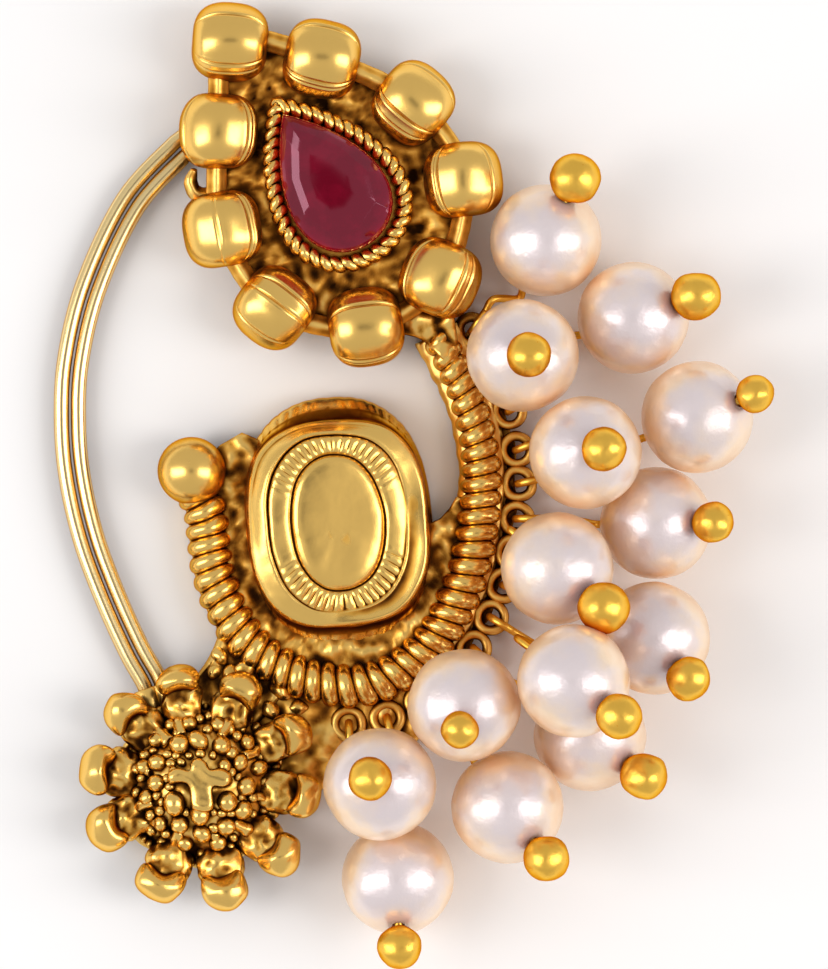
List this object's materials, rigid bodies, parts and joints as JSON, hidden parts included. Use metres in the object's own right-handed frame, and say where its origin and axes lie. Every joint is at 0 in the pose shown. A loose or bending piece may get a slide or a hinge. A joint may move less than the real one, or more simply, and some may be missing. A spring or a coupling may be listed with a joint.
{
  "type": "nath nose ring",
  "caption": "Traditional crescent nose ring with a coil-wound arm, raised boss, flower, beaded pear-stone head, pearl cluster on head pins and a doubled nose wire.",
  "frame": {"origin": "centre of the boss on the flat back, where the ring rests on the table", "axes": "+X to the right of the ring seen from the front, +Y to the top of the ring, +Z out of its front"},
  "size_m": [0.0316, 0.0423, 0.0114],
  "materials": {
    "antique_gold": "cast brass with antique gold plating, dark patina in the recesses",
    "antique_gold_wire": "drawn brass wire with antique gold plating, smooth",
    "bright_gold": "bright yellow gold plating, slightly uneven",
    "pearl_nacre": "satin cream-pink pearl lustre with fine pits",
    "ruby_glass": "deep crimson faceted stone, polished"
  },
  "bodies": {
    "root": {"cast_body": "antique_gold", "nose_wire": "antique_gold_wire", "teardrop_stone": "ruby_glass", "pearl_01": "pearl_nacre", "pearl_02": "pearl_nacre", "pearl_03": "pearl_nacre", "pearl_04": "pearl_nacre", "pearl_05": "pearl_nacre", "pearl_06": "pearl_nacre", "pearl_07": "pearl_nacre", "pearl_08": "pearl_nacre", "pearl_09": "pearl_nacre", "pearl_10": "pearl_nacre", "pearl_11": "pearl_nacre", "pearl_12": "pearl_nacre", "pearl_13": "pearl_nacre", "pearl_14": "pearl_nacre", "pearl_pin_01": "bright_gold", "pearl_pin_02": "bright_gold", "pearl_pin_03": "bright_gold", "pearl_pin_04": "bright_gold", "pearl_pin_05": "bright_gold", "pearl_pin_06": "bright_gold", "pearl_pin_07": "bright_gold", "pearl_pin_08": "bright_gold", "pearl_pin_09": "bright_gold", "pearl_pin_10": "bright_gold", "pearl_pin_11": "bright_gold", "pearl_pin_12": "bright_gold", "pearl_pin_13": "bright_gold", "pearl_pin_14": "bright_gold"}
  },
  "joints": []
}
